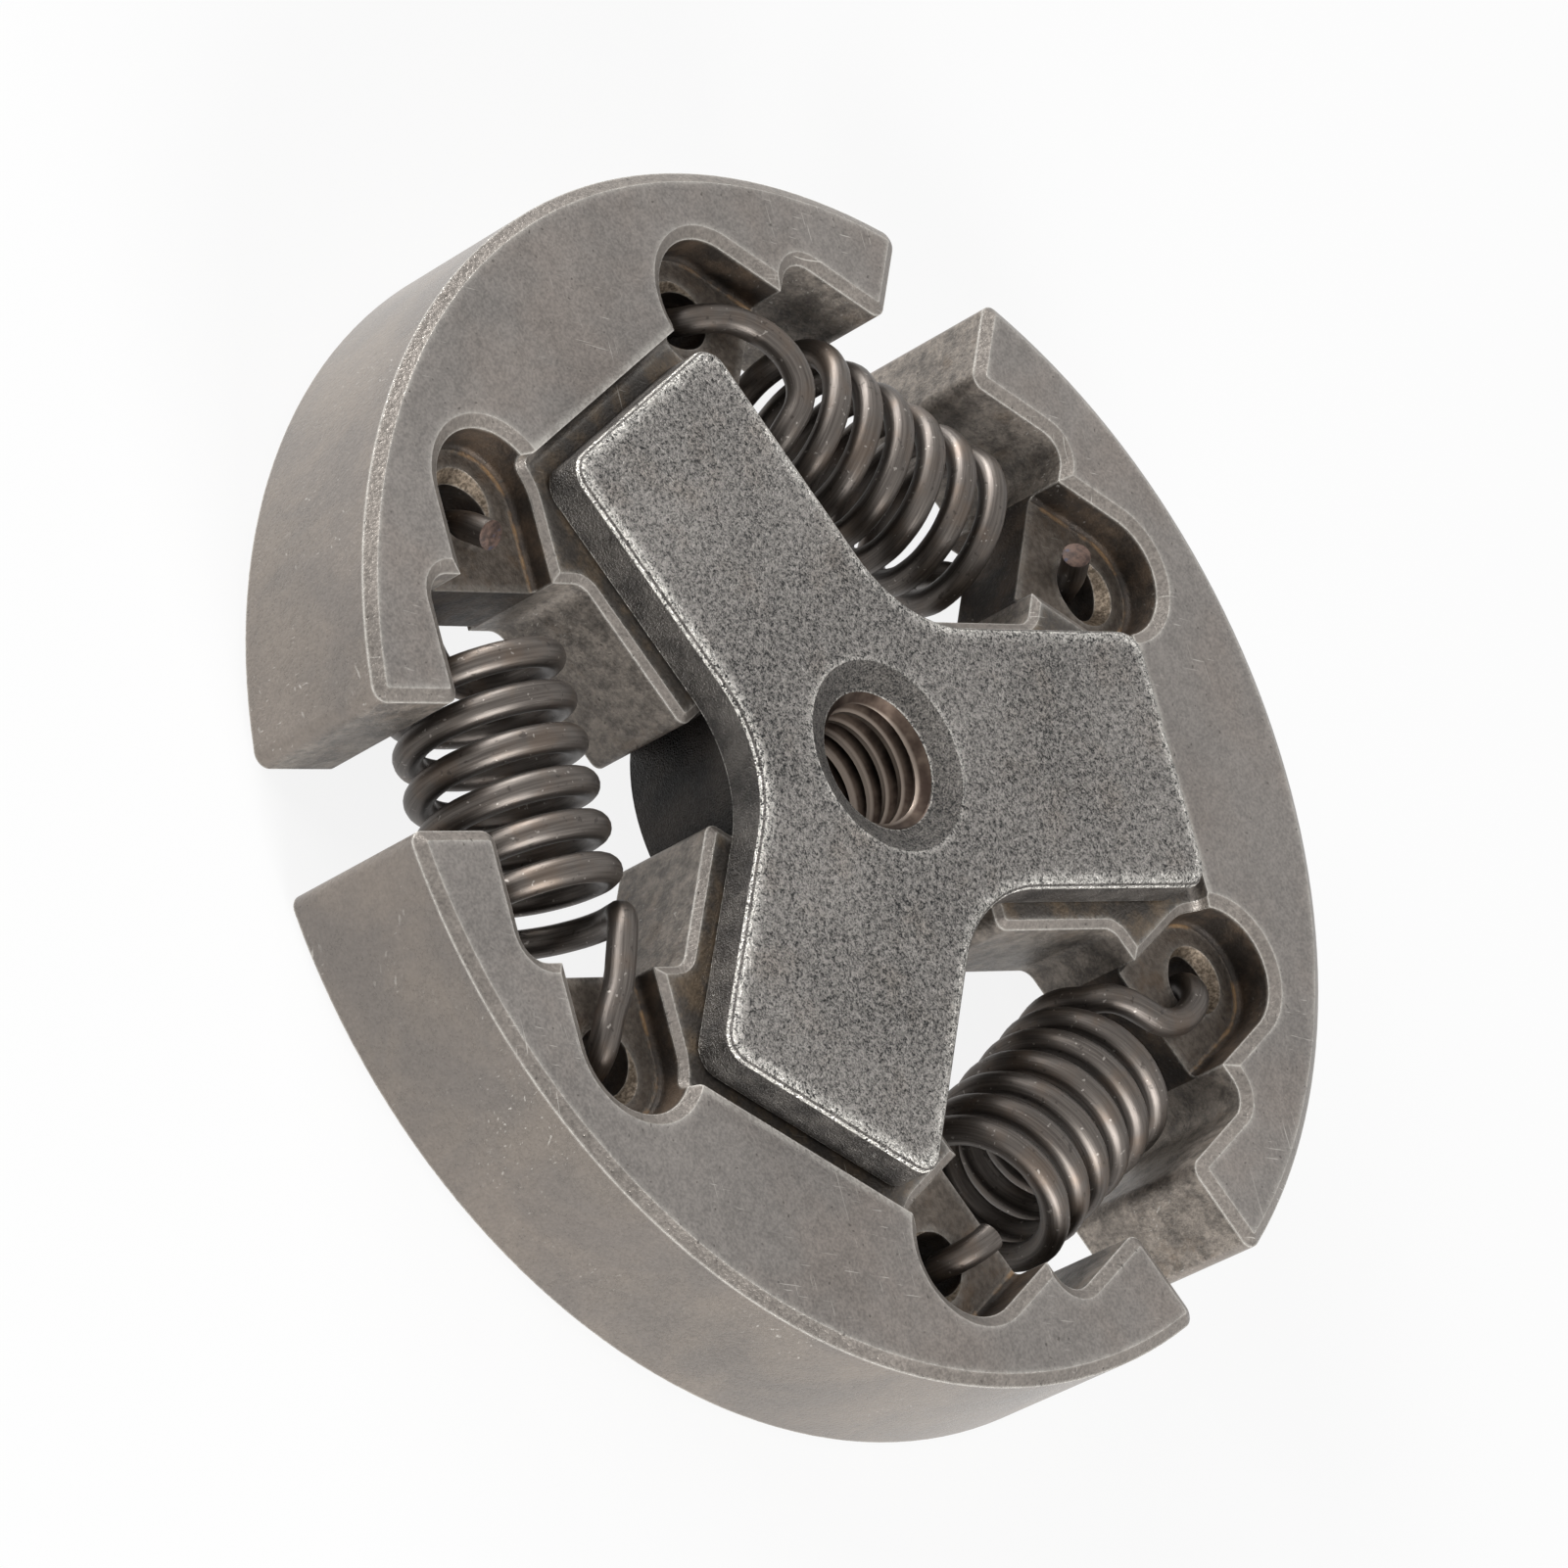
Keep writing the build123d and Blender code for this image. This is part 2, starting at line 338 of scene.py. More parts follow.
lean = math(edges, "ABSOLUTE", split(edges, surface.outputs["Normal"])["Z"])
join(edges, give["Slope"], math(edges, "MULTIPLY", ramp(edges, lean, 0.25, 0.55),
                                ramp(edges, lean, 0.985, 0.93)))
join(edges, give["Flat"], ramp(edges, lean, 0.90, 0.97))
join(edges, give["Upright"], lean)
print("edges:", len(edges.nodes), "nodes")

# %% [markdown]
# ## Fine scratches
# Handling leaves short hairlines that run in a few directions. A noise that is squeezed hard in one
# direction and cut off near its top gives a sparse set of them, and the group is placed with other
# angles where more are wanted.

# %% Group: scratches
scratches, take, give = new_group("fine_scratches", [
    ("Place", "Vector"), ("Turn", "Vector"), ("Amount", "Float")], [("Scratch", "Float")])
turned = scratches.nodes.new("ShaderNodeVectorRotate")
turned.rotation_type = "EULER_XYZ"
join(scratches, turned.inputs["Vector"], take["Place"])
join(scratches, turned.inputs["Rotation"], take["Turn"])
squeezed = scratches.nodes.new("ShaderNodeVectorMath")
squeezed.operation = "MULTIPLY"
join(scratches, squeezed.inputs[0], turned.outputs[0])
squeezed.inputs[1].default_value = (260, 9000, 2600)
hair = noise(scratches, squeezed.outputs[0], 1.0, 1.0, 0.4)
patches = ramp(scratches, noise(scratches, take["Place"], 160.0, 1.0, 0.5), 0.45, 0.7)
join(scratches, give["Scratch"], math(scratches, "MULTIPLY", math(
    scratches, "MULTIPLY", ramp(scratches, hair, 0.70, 0.78), patches), take["Amount"]))
print("scratches:", len(scratches.nodes), "nodes")

# %% [markdown]
# ## Where the hooks go in
# The arched pockets hold oil and old rust, so they are browner than the faces. There are six of
# them, two in each gap's own frame, so the group turns the place to each gap in turn, measures the
# distance to the pocket's outline there, and keeps the smallest.

# %% Group: pockets
pocket_depth = 4.75 * mm         # from a hole's middle towards the coil, where its pocket begins
pockets, take, give = new_group("hook_pockets", [("Place", "Vector")],
                                [("To Wall", "Float"), ("To Hole", "Float"), ("Height", "Float")])
to_wall = to_hole = None
for gap in range(3):
    turn = pockets.nodes.new("ShaderNodeVectorRotate")
    turn.rotation_type = "Z_AXIS"
    join(pockets, turn.inputs["Vector"], take["Place"])
    turn.inputs["Angle"].default_value = radians(-30 + 120 * gap)
    parts = split(pockets, turn.outputs[0])
    outward = math(pockets, "SUBTRACT", parts["X"], spring_radius)
    sideways = math(pockets, "SUBTRACT", math(pockets, "ABSOLUTE", parts["Y"]), hole_along)
    past = math(pockets, "MAXIMUM", sideways, 0.0)
    inside = math(pockets, "GREATER_THAN", sideways, -pocket_depth)
    reach = math(pockets, "ADD", length(pockets, outward, past),
                 math(pockets, "SUBTRACT", 1.0, inside))
    straight = length(pockets, outward, sideways)
    to_wall = reach if gap == 0 else math(pockets, "MINIMUM", to_wall, reach)
    to_hole = straight if gap == 0 else math(pockets, "MINIMUM", to_hole, straight)
height = split(pockets, take["Place"])["Z"]
join(pockets, give["To Wall"], to_wall)
join(pockets, give["To Hole"], to_hole)
join(pockets, give["Height"], math(pockets, "ABSOLUTE", math(
    pockets, "SUBTRACT", height, mid_height)))
print("pockets:", len(pockets.nodes), "nodes")

# %% [markdown]
# ## Finish of the shoes
# Warm grey satin steel. The grain is fine, and the bevels are a little browner with a bright line
# on each side, partly wear and partly painted highlight. The floor behind the plate is painted dark
# as shade, with a few golden stains. The pocket walls are painted nearly black as shade, mottled
# with oil, with a thin golden line at the foot, and the countersink of each hole sparkles. Each of
# these places is a mask made from where the point is and how it leans.


# %% Start a material
def new_look(name):
    """A new material, its tree, its shader and the place of a point in the object."""
    look = bpy.data.materials.new(name)
    look.use_nodes = True
    tree = look.node_tree
    place = tree.nodes.new("ShaderNodeTexCoord").outputs["Object"]
    return look, tree, tree.nodes["Principled BSDF"], place


def bump(tree, shader, height, distance, strength=1.0):
    """Fine relief, which tilts the normal and leaves the mesh as it is."""
    node = tree.nodes.new("ShaderNodeBump")
    join(tree, node.inputs["Height"], height)
    node.inputs["Distance"].default_value = distance
    node.inputs["Strength"].default_value = strength
    join(tree, shader.inputs["Normal"], node.outputs["Normal"])


def shade(tree, colour, tone):
    """A colour made lighter or darker by a value near 1."""
    node = tree.nodes.new("ShaderNodeVectorMath")
    node.operation = "SCALE"
    join(tree, node.inputs[0], colour)
    join(tree, node.inputs["Scale"], tone)
    return node.outputs[0]


print("helpers for materials are ready")

# %% [markdown]
# The faces come first. Powder grain tints a warm grey, a second slow noise leans it to brown here
# and there, and the sloping bevels get a browner grey of their own.

# %% Material: shoes
shoe_look, tree, shader, place = new_look("sintered_shoe")
powder = place_group(tree, grain, Place=place, Grain_Size=0.00019, Contrast=0.26, Clouds=0.7,
                     Pores=0.7)
rims = place_group(tree, edges, Place=place, Line_Width=0.00023, Breaks=0.4)
# painted sheen: a soft light band on the faces beside the edges
halo_sheen = place_group(tree, edges, Place=place, Line_Width=0.0010, Breaks=0.6)
hair_a = place_group(tree, scratches, Place=place, Turn=(0.2, 0.1, 0.7), Amount=0.6)["Scratch"]
hair_b = place_group(tree, scratches, Place=place, Turn=(0.1, 0.3, 2.1), Amount=0.5)["Scratch"]
hooks = place_group(tree, pockets, Place=place)
stain_noise = noise(tree, place, 420.0, 4.0, 0.65)
fine_stain = noise(tree, place, 2600.0, 2.0, 0.6)
sparkle = noise(tree, place, 4200.0, 3.0, 0.7)
parts = split(tree, place)
radius = length(tree, parts["X"], parts["Y"])
warm_grey, brown_grey = (0.212, 0.194, 0.179, 1), (0.222, 0.190, 0.167, 1)
bevel_brown = (0.196, 0.174, 0.154)
tinted = ramp(tree, noise(tree, place, 130.0, 3.0, 0.6), 0.40, 0.68, 0.0, 0.6)
colour = shade(tree, blend_colour(tree, tinted, warm_grey, brown_grey), powder["Tone"])
colour = blend_colour(tree, math(tree, "MULTIPLY", rims["Slope"], 0.85), colour,
                      shade(tree, bevel_brown, powder["Tone"]))
print("faces and bevels:", len(tree.nodes), "nodes")

# %% [markdown]
# The outer wall is rubbed smooth by the drum, while the walls inside keep a mottled skin of dirt
# and old oil. The floor behind the plate is painted dark as shade, with some gold-brown stains.

# %% Shoes: walls and floor
inner_walls = 34.2 * mm          # a wall nearer to the bore's axis than this is inside a shoe
outer_wall = 34.6 * mm           # and one beyond this is the wall that rubs on the drum
recess = (4.9 * mm, 4.5 * mm)    # a band: the mask goes from 0 at the first to 1 at the second
upright = math(tree, "MULTIPLY", math(tree, "SUBTRACT", 1.0, rims["Flat"]),
               math(tree, "SUBTRACT", 1.0, rims["Slope"]))
within = math(tree, "MULTIPLY", upright, ramp(tree, radius, outer_wall, inner_walls))
skin = blend_colour(tree, ramp(tree, noise(tree, place, 1000.0, 5.0, 0.72), 0.34, 0.64),
                    (0.098, 0.085, 0.073, 1), (0.262, 0.228, 0.194, 1))
skin = blend_colour(tree, ramp(tree, noise(tree, place, 420.0, 5.0, 0.7), 0.52, 0.70, 0.0, 0.55),
                    skin, (0.165, 0.122, 0.085, 1))
colour = blend_colour(tree, math(tree, "MULTIPLY", within, 0.85), colour,
                      shade(tree, skin, powder["Tone"]))
outer = math(tree, "MULTIPLY", upright, ramp(tree, radius, inner_walls, outer_wall))
drum_worn = blend_colour(tree, ramp(tree, noise(tree, place, 170.0, 4.0, 0.6, 0.4), 0.36, 0.64),
                         (0.176, 0.156, 0.140, 1), (0.214, 0.184, 0.158, 1))
colour = blend_colour(tree, math(tree, "MULTIPLY", outer, 0.9), colour,
                      shade(tree, drum_worn, math(tree, "ADD", 0.6, math(
                          tree, "MULTIPLY", powder["Tone"], 0.4))))
low = ramp(tree, hooks["Height"], *recess)
low_floor = math(tree, "MULTIPLY", low, rims["Flat"])
# painted shade: the low floor behind the plate is dark brown as if shaded, with real gold-brown
# stains
recess_shade_and_stains = blend_colour(tree, ramp(tree, stain_noise, 0.42, 0.68), (0.058, 0.050, 0.043, 1),
                    (0.150, 0.108, 0.068, 1))
colour = blend_colour(tree, math(tree, "MULTIPLY", low_floor, 0.9), colour,
                      shade(tree, recess_shade_and_stains, powder["Tone"]))
print("with walls and floor:", len(tree.nodes), "nodes")

# %% [markdown]
# The pockets hold oil stains. Their walls are painted dark brown as shade, mottled with the stains,
# their floors speckled, and a thin golden line runs along the walls' foot. The countersink of each
# hole is a brighter, uneven crescent.

# %% Shoes: pockets
pocket_edge = (3.86 * mm, 3.78 * mm)
foot_from, foot_to = (3.28 * mm, 3.38 * mm), (3.60 * mm, 3.48 * mm)
round_hole, over_web = (2.8 * mm, 2.4 * mm), (2.6 * mm, 2.38 * mm)
inside = math(tree, "MULTIPLY", ramp(tree, hooks["To Wall"], *pocket_edge), low)
# painted shade: the pocket walls are near black-brown as if shaded, mottled with oil stains
pocket_wall_shade = blend_colour(tree, ramp(tree, stain_noise, 0.36, 0.68), (0.026, 0.020, 0.016, 1),
                    (0.095, 0.066, 0.045, 1))
floor_tone = blend_colour(tree, ramp(tree, fine_stain, 0.30, 0.70), (0.105, 0.086, 0.070, 1),
                          (0.190, 0.158, 0.130, 1))
floor_tone = blend_colour(tree, ramp(tree, stain_noise, 0.50, 0.70, 0.0, 0.5), floor_tone,
                          (0.150, 0.095, 0.055, 1))
pocket_shade_and_stains = blend_colour(tree, rims["Flat"], pocket_wall_shade, floor_tone)
colour = blend_colour(tree, math(tree, "MULTIPLY", inside, 0.95), colour, pocket_shade_and_stains)
foot = math(tree, "MULTIPLY", ramp(tree, hooks["To Wall"], *foot_from),
            ramp(tree, hooks["To Wall"], *foot_to))
foot = math(tree, "MULTIPLY", math(tree, "MULTIPLY", foot, inside),
            math(tree, "MULTIPLY", math(tree, "SUBTRACT", 1.0, upright),
                 ramp(tree, stain_noise, 0.42, 0.60)))
colour = blend_colour(tree, math(tree, "MULTIPLY", foot, 0.8), colour, (0.38, 0.225, 0.098, 1))
gold = math(tree, "MULTIPLY", ramp(tree, hooks["To Hole"], *round_hole),
            math(tree, "MULTIPLY", ramp(tree, hooks["Height"], *over_web), rims["Slope"]))
colour = blend_colour(tree, gold, colour, blend_colour(
    tree, ramp(tree, sparkle, 0.36, 0.68), (0.125, 0.094, 0.064, 1), (0.40, 0.32, 0.24, 1)))
print("with pockets:", len(tree.nodes), "nodes")

# %% [markdown]
# Last come the marks on everything: bright lines on the edges, partly wear and partly painted
# highlight, a soft painted sheen on the faces beside them, a few hairlines, and the dark dots of
# open pores. Worn places are smoother as well as brighter.

# %% Shoes: wear, roughness and relief
smooth_wall = 34.9 * mm
worn_steel_and_highlight, pore_black = (0.64, 0.61, 0.56, 1), (0.060, 0.052, 0.045, 1)
outside = math(tree, "SUBTRACT", 1.0, math(tree, "MULTIPLY", inside, 0.55))
# painted highlight and sheen with real wear: edge lines, the soft halo beside them and hairlines,
# all in the bright steel colour
light = math(tree, "MULTIPLY", outside, math(
    tree, "MAXIMUM", math(tree, "MAXIMUM", rims["Line"], math(
        tree, "MULTIPLY", halo_sheen["Line"], math(tree, "MULTIPLY", rims["Flat"], 0.65))),
    math(tree, "MAXIMUM", hair_a, hair_b)))
colour = blend_colour(tree, light, colour, worn_steel_and_highlight)
open_pore = math(tree, "MULTIPLY", powder["Pore"], math(
    tree, "SUBTRACT", 1.0, math(tree, "MULTIPLY", outer, 0.85)))
colour = blend_colour(tree, open_pore, colour, pore_black)
join(tree, shader.inputs["Base Color"], colour)
shader.inputs["Metallic"].default_value = 0.55
rough = math(tree, "ADD", ramp(tree, radius, inner_walls, smooth_wall, 0.45, 0.32),
             math(tree, "MULTIPLY", inside, 0.10))
rough = math(tree, "SUBTRACT", rough, math(tree, "MULTIPLY", light, 0.15))
join(tree, shader.inputs["Roughness"], math(tree, "ADD", rough, math(
    tree, "MULTIPLY", math(tree, "SUBTRACT", powder["Tone"], 1.0), 0.25)))
bump(tree, shader, powder["Height"], 0.000014, 0.7)
print("shoe:", len(tree.nodes), "nodes")

# %% [markdown]
# ## Finish of the spider
# The same sintered steel, but its top was left as pressed, so it is coarser, a salt-and-pepper of
# dark pores and light grains. The rounded rim has two painted highlights with a painted dark band
# between them. The wall below is darkened with painted shade, the dish round the bore is darker,
# and the hub is nearly black.

# %% Material: spider
spider_look, tree, shader, place = new_look("sintered_spider")
powder = place_group(tree, grain, Place=place, Grain_Size=0.00011, Contrast=1.3, Clouds=1.2,
                     Pores=0.8)
rims = place_group(tree, edges, Place=place, Line_Width=0.00020, Breaks=0.35)
near_rim = place_group(tree, edges, Place=place, Line_Width=0.0016, Breaks=0.6)
hair = place_group(tree, scratches, Place=place, Turn=(0.15, 0.1, 1.4), Amount=0.5)["Scratch"]
parts = split(tree, place)
radius = length(tree, parts["X"], parts["Y"])
colour = shade(tree, (0.150, 0.140, 0.130), powder["Tone"])
tinted = ramp(tree, noise(tree, place, 260.0, 3.0, 0.6), 0.50, 0.72, 0.0, 0.4)
colour = blend_colour(tree, tinted, colour, shade(tree, (0.135, 0.113, 0.094), powder["Tone"]))
print("plate:", len(tree.nodes), "nodes")

# %% [markdown]
# The rim is one narrow rounding, so a mask of its place would be hard to set. But how upright its
# normal is goes from 1 at the flat face to 0 at the wall, and a band of that is a line that runs
# all the way round. Two bands are painted highlights, and the one between them is a painted dark
# band, as a rounded rim reflects light and dark. A soft painted sheen lies on the face beside the
# rim.

# %% Spider: wall, rim and dish
dish_edge, hub_top = (5.62 * mm, 5.50 * mm), (9.2 * mm, 9.6 * mm)
upright = rims["Upright"]
# painted shade: the plate's side walls are darker because they face away from the light
side = blend_colour(tree, ramp(tree, noise(tree, place, 500.0, 4.0, 0.65), 0.35, 0.68),
                    (0.040, 0.036, 0.033, 1), (0.112, 0.102, 0.092, 1))
colour = blend_colour(tree, ramp(tree, upright, 0.45, 0.25), colour, side)
in_dish = ramp(tree, radius, *dish_edge)
colour = blend_colour(tree, math(tree, "MULTIPLY", in_dish, 0.85), colour,
                      shade(tree, (0.068, 0.062, 0.056), powder["Tone"]))
# painted highlight: two bright bands across the rim's rounding, with a painted dark band between
first_highlight = math(tree, "MULTIPLY", ramp(tree, upright, 0.995, 0.955),
                  ramp(tree, upright, 0.78, 0.88))
rim_dark_band = math(tree, "MULTIPLY", ramp(tree, upright, 0.86, 0.78), ramp(tree, upright, 0.58, 0.66))
second_highlight = math(tree, "MULTIPLY", ramp(tree, upright, 0.62, 0.52),
                   ramp(tree, upright, 0.12, 0.30))
rim = math(tree, "SUBTRACT", 1.0, in_dish)
colour = blend_colour(tree, math(tree, "MULTIPLY", rim_dark_band, math(tree, "MULTIPLY", rim, 0.6)),
                      colour, (0.050, 0.045, 0.040, 1))
both = math(tree, "MULTIPLY", rim, math(tree, "MAXIMUM", math(tree, "MULTIPLY", first_highlight, 0.55),
                                        math(tree, "MULTIPLY", second_highlight, 0.9)))
# painted sheen: a soft light band on the face beside the rim
rim_sheen = math(tree, "MULTIPLY", near_rim["Line"], math(tree, "MULTIPLY", rims["Flat"], 0.95))
light = math(tree, "MAXIMUM", math(tree, "MAXIMUM", both, rim_sheen),
             math(tree, "MAXIMUM", math(tree, "MULTIPLY", rims["Line"], 0.8), hair))
colour = blend_colour(tree, light, colour, shade(tree, (0.56, 0.54, 0.50), powder["Tone"]))
colour = blend_colour(tree, powder["Pore"], colour, (0.028, 0.026, 0.024, 1))
dark = blend_colour(tree, ramp(tree, noise(tree, place, 300.0, 3.0), 0.35, 0.65),
                    (0.016, 0.015, 0.014, 1), (0.042, 0.035, 0.030, 1))
colour = blend_colour(tree, ramp(tree, parts["Z"], *hub_top), dark, colour)
join(tree, shader.inputs["Base Color"], colour)
print("with rim and dish:", len(tree.nodes), "nodes")

# %% [markdown]
# The dark grains are pits that scatter light, so they are rougher, and rubbed metal is smoother.

# %% Spider: roughness and relief
shader.inputs["Metallic"].default_value = 0.55
rough = math(tree, "ADD", 0.42, math(tree, "MULTIPLY", math(
    tree, "SUBTRACT", 1.0, powder["Tone"]), 0.12))
join(tree, shader.inputs["Roughness"], math(
    tree, "SUBTRACT", rough, math(tree, "MULTIPLY", light, 0.12)))
bump(tree, shader, powder["Height"], 0.00004, 1.0)
print("spider:", len(tree.nodes), "nodes")

# %% [markdown]
# ## Finish of the spring wire
# Hard drawn wire is dark, brown-grey and glossy, with fine streaks along it from the die and small
# darker marks. The streaks have to follow the wire round its coils, which object coordinates can't
# do, so this material reads the piece's UV map: one direction along the wire, one round it.

# %% Material: spring wire
wire_look, tree, shader, place = new_look("drawn_wire")
turns = tree.nodes.new("ShaderNodeUVMap")
turns.uv_map = "UVMap"
stretched = tree.nodes.new("ShaderNodeMapping")
join(tree, stretched.inputs["Vector"], turns.outputs["UV"])
stretched.inputs["Scale"].default_value = (22, 34, 1)
streaks = noise(tree, stretched.outputs[0], 1.0, 4.0, 0.65)
finer = tree.nodes.new("ShaderNodeMapping")
join(tree, finer.inputs["Vector"], turns.outputs["UV"])
finer.inputs["Scale"].default_value = (90, 90, 1)
fine_streaks = noise(tree, finer.outputs[0], 1.0, 2.0, 0.6)
blotches = noise(tree, place, 420.0, 3.0, 0.6)
marks = ramp(tree, noise(tree, place, 1900.0, 2.0, 0.6), 0.64, 0.72)
specks = ramp(tree, noise(tree, place, 3400.0, 1.0, 0.5), 0.70, 0.77)
colour = blend_colour(tree, ramp(tree, streaks, 0.30, 0.70), (0.070, 0.060, 0.053, 1),
                      (0.138, 0.121, 0.108, 1))
colour = blend_colour(tree, math(tree, "MULTIPLY", ramp(tree, blotches, 0.46, 0.70), 0.55), colour,
                      (0.120, 0.088, 0.066, 1))
colour = blend_colour(tree, math(tree, "MULTIPLY", marks, 0.6), colour, (0.035, 0.029, 0.025, 1))
bright = math(tree, "MAXIMUM", math(tree, "MULTIPLY", ramp(tree, fine_streaks, 0.64, 0.76), 0.2),
              math(tree, "MULTIPLY", specks, 0.6))
colour = blend_colour(tree, bright, colour, (0.38, 0.35, 0.32, 1))
join(tree, shader.inputs["Base Color"], colour)
shader.inputs["Metallic"].default_value = 0.8
join(tree, shader.inputs["Roughness"], math(tree, "ADD", 0.37, math(
    tree, "MULTIPLY", streaks, 0.12)))
bump(tree, shader, math(tree, "ADD", fine_streaks, math(tree, "MULTIPLY", marks, -0.8)),
     0.000012, 0.6)
print("wire:", len(tree.nodes), "nodes")

# %% [markdown]
# The wire's cut ends were sheared off, so they are rough and have rusted a little: reddish brown
# with a bluish rim of tempered steel.

# %% Material: cut ends
cut_look, tree, shader, place = new_look("sheared_end")
broken = noise(tree, place, 2200.0, 3.0, 0.6)
colour = blend_colour(tree, ramp(tree, broken, 0.35, 0.65), (0.030, 0.017, 0.013, 1),
                      (0.120, 0.075, 0.058, 1))
colour = blend_colour(tree, ramp(tree, noise(tree, place, 1500.0, 1.0), 0.60, 0.72), colour,
                      (0.050, 0.056, 0.085, 1))
join(tree, shader.inputs["Base Color"], colour)
shader.inputs["Metallic"].default_value = 0.35
join(tree, shader.inputs["Roughness"], math(tree, "ADD", 0.55, math(
    tree, "MULTIPLY", broken, 0.2)))
bump(tree, shader, broken, 0.00005, 0.8)
print("cut end:", len(tree.nodes), "nodes")

# %% [markdown]
# ## Finish of the thread
# The thread was cut after sintering, so it is smoother than the face. Its dark brown is painted
# shade, as it lies deep in the bore, and its bright crests are a painted highlight.

# %% Material: thread
crest_highlight_band = (3.58 * mm, 3.42 * mm)
thread_look, tree, shader, place = new_look("thread_painted_shade")
parts = split(tree, place)
radius = length(tree, parts["X"], parts["Y"])
thread_mottle = noise(tree, place, 700.0, 3.0, 0.6)
# painted shade: the thread is dark brown as if in the shade of the bore, mottled by a noise
colour = blend_colour(tree, ramp(tree, thread_mottle, 0.3, 0.7), (0.034, 0.022, 0.017, 1),
                      (0.098, 0.072, 0.056, 1))
# painted highlight: the crests are brighter where they would catch the light
crest_highlight = ramp(tree, radius, *crest_highlight_band)
colour = blend_colour(tree, math(tree, "MULTIPLY", crest_highlight, 0.6), colour, (0.30, 0.25, 0.21, 1))
join(tree, shader.inputs["Base Color"], colour)
shader.inputs["Metallic"].default_value = 0.9
join(tree, shader.inputs["Roughness"], math(tree, "ADD", 0.26, math(tree, "MULTIPLY", thread_mottle, 0.15)))
bump(tree, shader, thread_mottle, 0.00001, 0.4)
print("thread:", len(tree.nodes), "nodes")

# %% [markdown]
# ## Springs
# Each spring is one wire: a close coil whose two ends lead out into hooks. By hand it is easiest to
# draw the wire's middle line first and give it thickness last. A single point is turned and lifted
# by a Screw modifier into half a coil. As a Bezier curve its end is then led point by point over
# the web of the shoe and down through the hole. A spring's other half is the same half turned over
# about the line to the rim, so only one half of each form is drawn. An automatic handle at a
# curve's end aims straight at the next point, which would tilt the wire's end and leave a wedge
# open between the halves. So the handles there are laid along the helix.

# %% Half a coil as a curve
points_per_round = 14
handle_length = 4 / 3 * tan(pi / (2 * points_per_round)) * coil_radius


def deselect():
    bpy.ops.object.select_all(action="DESELECT")


def select_only(thing):
    deselect()
    thing.select_set(True)
    bpy.context.view_layer.objects.active = thing


def half_coil(name, leave_angle):
    """The coil from its middle to where the hook leaves it, as a smooth curve."""
    rounds = (coil_rounds - leave_angle / 180) / 2
    deselect()
    bpy.ops.mesh.primitive_plane_add(size=mm, location=(coil_radius, 0, 0))
    line = bpy.context.object
    line.name = name
    bpy.ops.object.mode_set(mode="EDIT")
    bpy.ops.mesh.merge(type="CENTER")
    bpy.ops.object.mode_set(mode="OBJECT")
    bpy.ops.object.transform_apply(location=True)
    screw = line.modifiers.new("turns", "SCREW")
    screw.angle = rounds * 2 * pi
    screw.screw_offset = pitch * rounds
    screw.steps = screw.render_steps = round(rounds * points_per_round)
    bpy.ops.object.modifier_apply(modifier="turns")
    bpy.ops.object.mode_set(mode="EDIT")
    bpy.ops.mesh.select_all(action="SELECT")
    bpy.ops.transform.rotate(value=radians(leave_angle) + rounds * 2 * pi, orient_axis="Z",
                             center_override=(0, 0, 0))
    bpy.ops.object.mode_set(mode="OBJECT")
    bpy.ops.object.convert(target="CURVE")
    return bpy.context.object


def lead_hook(line, points):
    """Carries the curve's end through points, as with a click for each in edit mode."""
    bpy.ops.object.mode_set(mode="EDIT")
    bpy.ops.curve.select_all(action="SELECT")
    bpy.ops.curve.spline_type_set(type="BEZIER")
    bpy.ops.curve.handle_type_set(type="AUTOMATIC")
    bpy.ops.curve.select_all(action="DESELECT")
    ends = line.data.splines[0].bezier_points
    end = ends[0] if ends[0].co.z > ends[-1].co.z else ends[-1]
    end.select_control_point = end.select_left_handle = end.select_right_handle = True
    for point in points:
        bpy.ops.curve.vertex_add(location=point)
    bpy.ops.object.mode_set(mode="OBJECT")
    square_start(line)


def square_start(line):
    """Lays the handles of the coil's middle along the helix, so that two halves meet squarely."""
    ends = line.data.splines[0].bezier_points
    first = ends[0].co.z < ends[-1].co.z
    start = ends[0] if first else ends[-1]
    reach = Vector((0, -coil_radius, pitch / (2 * pi))).normalized() * handle_length
    start.handle_left_type = start.handle_right_type = "FREE"
    start.handle_right = start.co + (reach if first else -reach)
    start.handle_left = start.co - (reach if first else -reach)


print("a coil's handles are", round(handle_length / mm, 3), "mm long")

# %% [markdown]
# The three springs were not hooked alike, and the photograph shows it. One leaves its coil early
# and swings wide towards the rim, one crosses from the hub's side and curls in beyond the hole, and
# one runs almost straight. Each passes the hole leaning back to the coil and ends past the web.


# %% Points of the hooks
def millimetres(*points):
    return [(x * mm, y * mm, z * mm) for x, y, z in points]


